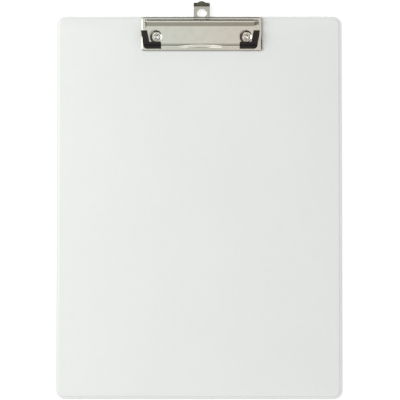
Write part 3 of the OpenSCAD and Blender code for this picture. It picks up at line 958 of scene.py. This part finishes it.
def makeRivet(node):
    centre = rivetCentre(node)
    seat = boardFace + clip["sheet"]
    rollRadius = (rivet["roll"] - rivet["hollow"]) / 2
    rollMid = (rivet["hollow"] + rollRadius, seat + rivet["rollRise"])
    top = rollMid[1] + rollRadius

    def place(radius, height, angle):
        return (centre.x + radius * math.cos(angle), centre.y + radius * math.sin(angle), height)

    def ripple(radius, height, angle):
        share = max(0.0, (height - seat) / (top - seat)) if radius > rivet["hollow"] + 0.1 * mm else 0.0
        return rivet["lobeDepth"] * share * (math.cos(rivet["lobes"] * angle) - 1)

    # up from the back: the head and shank outside, and the bore inside
    head = rivet["head"]
    shank = rivet["shank"]
    hollow = rivet["hollow"]
    outside = [(pole, 0.0), (2.6 * mm, 0.0), (head - 0.25 * mm, 0.0), (head - 0.08 * mm, 0.05 * mm)]
    outside += [(head, 0.16 * mm), (head, rivet["headHeight"]), (shank, rivet["headHeight"])]
    bore = [(hollow - 0.15 * mm, 1.0 * mm), (0.9 * mm, 0.75 * mm), (pole, 0.68 * mm)]
    profile = [(r, boardBack + h) for r, h in outside] + [(shank, seat)]
    profile += arc(rollMid, rollRadius, -18, 180, 14) + [(hollow, seat - 0.6 * mm)]
    profile += [(r, boardBack + h) for r, h in bore]
    bm = bmesh.new()
    loft(bm, turned(profile, place, 84, ripple))
    piece = makePiece(node + "_rolled", bm, rivetMetal, 40)
    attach(piece, "board")
    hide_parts(node)


for node in rivetNodes:
    makeRivet(node)
print("rivets made")


# ---- springs: a node tree winds each coil and lays its straight ends

spring = {
    "wire": 0.2 * mm,
    "coil": 1.1 * mm,
    "turns": 14,
    "stepsPerTurn": 24,
    "pitch": 0.42 * mm,
    "footReach": -0.2 * mm,  # the foot stands clear of the ridge's swinging end
    "footDrop": 3.08 * mm,
    "footStart": -0.05 * mm,
    "stubReach": 1.8 * mm,
    "stubSink": 0.1 * mm,  # the stub starts this far inside the coil's wire
    "stubAngle": -30,
}


def newTree(name, inputs):
    tree = bpy.data.node_groups.new(name, "GeometryNodeTree")
    for label, kind in inputs:
        tree.interface.new_socket(name=label, in_out="INPUT", socket_type=kind)
    tree.interface.new_socket(name="Mesh", in_out="OUTPUT", socket_type="NodeSocketGeometry")
    return tree


def mathNode(tree, operation, first, second=None):
    node = tree.nodes.new("ShaderNodeMath")
    node.operation = operation
    for socket, value in zip(node.inputs, (first, second)):
        if value is None:
            continue
        if isinstance(value, (int, float)):
            socket.default_value = value
        else:
            tree.links.new(value, socket)
    return node.outputs[0]


def wireTree(finish):
    inputs = [("Turns", "NodeSocketFloat"), ("Steps per turn", "NodeSocketInt")]
    inputs += [(label, "NodeSocketFloat") for label in ("Coil radius", "Wire radius", "Pitch", "Hand")]
    inputs += [("Start", "NodeSocketVector"), ("End", "NodeSocketVector")]
    tree = newTree("woundWire", inputs)
    given = tree.nodes.new("NodeGroupInput").outputs
    result = tree.nodes.new("NodeGroupOutput")
    count = mathNode(tree, "MULTIPLY", given["Turns"], given["Steps per turn"])
    line = tree.nodes.new("GeometryNodeMeshLine")
    tree.links.new(mathNode(tree, "ADD", count, 1), line.inputs["Count"])
    index = tree.nodes.new("GeometryNodeInputIndex").outputs[0]
    turn = mathNode(tree, "DIVIDE", index, given["Steps per turn"])
    angle = mathNode(tree, "SUBTRACT", -math.pi / 2, mathNode(tree, "MULTIPLY", turn, 2 * math.pi))
    middle = mathNode(tree, "MULTIPLY", given["Turns"], 0.5)
    along = mathNode(tree, "MULTIPLY", mathNode(tree, "SUBTRACT", turn, middle), given["Pitch"])
    point = tree.nodes.new("ShaderNodeCombineXYZ")
    tree.links.new(mathNode(tree, "MULTIPLY", along, given["Hand"]), point.inputs[0])
    for axis, operation in ((1, "COSINE"), (2, "SINE")):
        wave = mathNode(tree, operation, angle)
        tree.links.new(mathNode(tree, "MULTIPLY", wave, given["Coil radius"]), point.inputs[axis])
    moved = tree.nodes.new("GeometryNodeSetPosition")
    tree.links.new(line.outputs[0], moved.inputs["Geometry"])
    tree.links.new(point.outputs[0], moved.inputs["Position"])
    coil = tree.nodes.new("GeometryNodeMeshToCurve")
    tree.links.new(moved.outputs[0], coil.inputs["Mesh"])
    leg = tree.nodes.new("GeometryNodeCurvePrimitiveLine")
    tree.links.new(given["Start"], leg.inputs["Start"])
    tree.links.new(given["End"], leg.inputs["End"])
    wires = tree.nodes.new("GeometryNodeJoinGeometry")
    tree.links.new(coil.outputs[0], wires.inputs[0])
    tree.links.new(leg.outputs[0], wires.inputs[0])
    section = tree.nodes.new("GeometryNodeCurvePrimitiveCircle")
    section.inputs["Resolution"].default_value = 12
    tree.links.new(given["Wire radius"], section.inputs["Radius"])
    swept = tree.nodes.new("GeometryNodeCurveToMesh")
    swept.inputs["Fill Caps"].default_value = True
    tree.links.new(wires.outputs[0], swept.inputs["Curve"])
    tree.links.new(section.outputs[0], swept.inputs["Profile Curve"])
    smooth = tree.nodes.new("GeometryNodeSetShadeSmooth")
    tree.links.new(swept.outputs[0], smooth.inputs[0])
    real = tree.nodes.new("GeometryNodeRealizeInstances")
    tree.links.new(smooth.outputs[0], real.inputs[0])
    painted = tree.nodes.new("GeometryNodeSetMaterial")
    painted.inputs["Material"].default_value = finish
    tree.links.new(real.outputs[0], painted.inputs["Geometry"])
    tree.links.new(painted.outputs[0], result.inputs[0])
    return tree


def windWire(name, tree, values, body, node, place):
    piece = bpy.data.objects.new(name, bpy.data.meshes.new(name))
    collection.objects.link(piece)
    modifier = piece.modifiers.new("wound", "NODES")
    modifier.node_group = tree
    for item in tree.interface.items_tree:
        if item.in_out == "INPUT" and item.name in values:
            modifier[item.identifier] = values[item.name]
    applyModifiers(piece, 60)
    piece.data.transform(Matrix.Translation(place))
    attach(piece, body)
    if node:
        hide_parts(node)


def makeSpring(side, hand):
    tree = wireTree(springSteel)
    low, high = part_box("spring_" + side)
    place = ((low.x + high.x) / 2, rod.y, rod.z)
    half = spring["pitch"] * spring["turns"] / 2
    stub = math.radians(spring["stubAngle"])
    turns = spring["turns"] - (90 + spring["stubAngle"]) / 360
    values = {
        "Turns": float(spring["turns"]),
        "Steps per turn": spring["stepsPerTurn"],
        "Coil radius": spring["coil"],
        "Wire radius": spring["wire"],
        "Pitch": spring["pitch"],
        "Hand": float(hand),
        "Start": (-hand * half, spring["footStart"], -spring["coil"]),
        "End": (-hand * half, spring["footReach"], -spring["footDrop"]),
    }
    windWire("spring_" + side + "_coil", tree, values, "board", "spring_" + side, place)
    end = hand * (spring["pitch"] * turns - half)
    inner = spring["coil"] - spring["stubSink"]
    reach = spring["stubReach"]
    values["Turns"] = 0.0
    values["Start"] = (end, inner * math.cos(stub), inner * math.sin(stub))
    values["End"] = (end, reach * math.cos(stub), reach * math.sin(stub))
    windWire("spring_" + side + "_stub", tree, values, "press", None, place)


makeSpring("left", 1)
makeSpring("right", -1)
print("springs wound")


# ---- studio: floor, light and camera

studio = {
    "floorDrop": 0.3 * mm,
    "floorSize": 6.0,
    "floorGlow": 0.5,
    "distance": 1.3,
    "tilt": 1.8,  # degrees from straight above
    "view": 0.329,  # metres across the whole picture, at the board
    "aim": (0.8 * mm, 5.8 * mm, 2.5 * mm),
    "fill": 0.58,
    "keyPower": 17.0,
    "keyPlace": (-1.3, 0.35, 1.25),
    "keySize": 1.3,
    "glintPower": 0.5,
    "glintPlace": (0.36, -0.45, 1.3),  # and its mirror image to the left
    "glintSize": 0.2,
    "glintShares": {-1: 1.0, 1: 1.8},  # left and right
    "cardDistance": 12 * mm,  # to the dark cards, which only show as reflections
    "cardHeight": 60 * mm,
    "cardLift": 1.0 * mm,  # side card above the board
    # near-black of the dark cards: painted dark reflections, seen only in the metal
    "cardColour": (0.05, 0.045, 0.035, 1.0),
    "fillColour": (0.985, 0.99, 0.985, 1.0),
}


def makeFloor():
    bm = bmesh.new()
    half = studio["floorSize"] / 2
    z = boardBack - studio["floorDrop"]
    bm.faces.new(addLoop(bm, [(-half, -half, z), (half, -half, z), (half, half, z), (-half, half, z)]))
    paper = bpy.data.materials.new("paleFloor")
    paper.use_nodes = True
    tree = paper.node_tree
    tree.nodes.clear()
    output = tree.nodes.new("ShaderNodeOutputMaterial")
    matt = tree.nodes.new("ShaderNodeBsdfDiffuse")
    matt.inputs["Color"].default_value = (0.8, 0.8, 0.8, 1.0)
    glow = tree.nodes.new("ShaderNodeEmission")
    rays = tree.nodes.new("ShaderNodeLightPath")
    seen = combine(tree, "MAXIMUM", rays.outputs["Is Camera Ray"], rays.outputs["Is Glossy Ray"])
    seen = combine(tree, "MAXIMUM", seen, rays.outputs["Is Transmission Ray"])
    tree.links.new(combine(tree, "MULTIPLY", seen, studio["floorGlow"]), glow.inputs["Strength"])
    both = tree.nodes.new("ShaderNodeAddShader")
    tree.links.new(matt.outputs[0], both.inputs[0])
    tree.links.new(glow.outputs[0], both.inputs[1])
    tree.links.new(both.outputs[0], output.inputs["Surface"])
    floor = makePiece("studio_floor", bm, paper)


def makeWorld():
    world = bpy.data.worlds.new("studioAir")
    bpy.context.scene.world = world
    world.use_nodes = True
    tree = world.node_tree
    tree.nodes.clear()
    output = tree.nodes.new("ShaderNodeOutputWorld")
    rays = tree.nodes.new("ShaderNodeLightPath")
    direction = tree.nodes.new("ShaderNodeTexCoord").outputs["Generated"]
    height = axisValue(tree, direction, 2)
    ramp = tree.nodes.new("ShaderNodeValToRGB")
    tree.links.new(height, ramp.inputs[0])
    stops = ramp.color_ramp.elements
    stops[0].position = 0.0
    stops[0].color = (0.07, 0.062, 0.05, 1.0)
    stops[1].position = 0.9
    stops[1].color = (1.0, 1.0, 1.0, 1.0)
    for position, colour in ((0.3, (0.1, 0.09, 0.075, 1.0)), (0.5, (0.215, 0.2, 0.17, 1.0)),
                             (0.74, (0.8, 0.78, 0.74, 1.0))):
        stop = stops.new(position)
        stop.color = colour
    fill = tree.nodes.new("ShaderNodeBackground")
    fill.inputs["Color"].default_value = studio["fillColour"]
    fill.inputs["Strength"].default_value = studio["fill"]
    mirrored = tree.nodes.new("ShaderNodeBackground")
    tree.links.new(ramp.outputs["Color"], mirrored.inputs["Color"])
    white = tree.nodes.new("ShaderNodeBackground")
    white.inputs["Color"].default_value = (1.0, 1.0, 1.0, 1.0)
    first = tree.nodes.new("ShaderNodeMixShader")
    gloss = combine(tree, "MAXIMUM", rays.outputs["Is Glossy Ray"], rays.outputs["Is Transmission Ray"])
    tree.links.new(gloss, first.inputs[0])
    tree.links.new(fill.outputs[0], first.inputs[1])
    tree.links.new(mirrored.outputs[0], first.inputs[2])
    second = tree.nodes.new("ShaderNodeMixShader")
    tree.links.new(rays.outputs["Is Camera Ray"], second.inputs[0])
    tree.links.new(first.outputs[0], second.inputs[1])
    tree.links.new(white.outputs[0], second.inputs[2])
    tree.links.new(second.outputs[0], output.inputs["Surface"])


# dark cards that only glossy rays see: painted dark reflections on the ridge's rear and the base's right
# bend, standing in for shade there
def makeCards():
    look = {"Base Color": studio["cardColour"], "Roughness": 0.9, "Specular IOR Level": 0.0}
    finish = startFinish("darkCard", look)[0]
    rearY = hangerHigh.y + studio["cardDistance"]
    sideX = baseHigh.x + studio["cardDistance"]
    middle = (baseLow.y + baseHigh.y) / 2
    sideLow = boardFace + studio["cardLift"]
    for name, start, end, low in (("rear_card", (baseLow.x, rearY), (baseHigh.x, rearY), boardBack),
                                  ("side_card", (sideX, baseLow.y), (sideX, middle), sideLow)):
        high = low + studio["cardHeight"]
        bm = bmesh.new()
        bm.faces.new(addLoop(bm, [(*start, low), (*end, low), (*end, high), (*start, high)]))
        card = makePiece(name, bm, finish)
        card.visible_camera = False
        card.visible_diffuse = False
        card.visible_shadow = False


def addLamp(name, place, size, power):
    lamp = bpy.data.lights.new(name, "AREA")
    lamp.shape = "DISK"
    lamp.size = size
    lamp.energy = power
    lampObject = bpy.data.objects.new(name, lamp)
    lampObject.location = place
    aim = Vector((0.0, 0.0, 0.0)) - Vector(place)
    lampObject.rotation_euler = aim.to_track_quat("-Z", "Y").to_euler()
    collection.objects.link(lampObject)


def makeCamera():
    lens = bpy.data.cameras.new("camera")
    lens.sensor_width = 36.0
    lens.lens = 36.0 * studio["distance"] / studio["view"]
    lens.clip_start = 0.01
    lens.clip_end = 20.0
    camera = bpy.data.objects.new("camera", lens)
    tilt = math.radians(studio["tilt"])
    back = Vector((0.0, -math.sin(tilt), math.cos(tilt))) * studio["distance"]
    camera.location = Vector(studio["aim"]) + back
    camera.rotation_euler = (tilt, 0.0, 0.0)
    collection.objects.link(camera)
    bpy.context.scene.camera = camera


makeFloor()
makeWorld()
addLamp("key_light", studio["keyPlace"], studio["keySize"], studio["keyPower"])
for side, share in studio["glintShares"].items():
    x, y, z = studio["glintPlace"]
    addLamp("glint_light", (side * x, y, z), studio["glintSize"], studio["glintPower"] * share)
makeCards()
makeCamera()
bpy.context.scene.view_settings.view_transform = "Standard"
print("studio set")
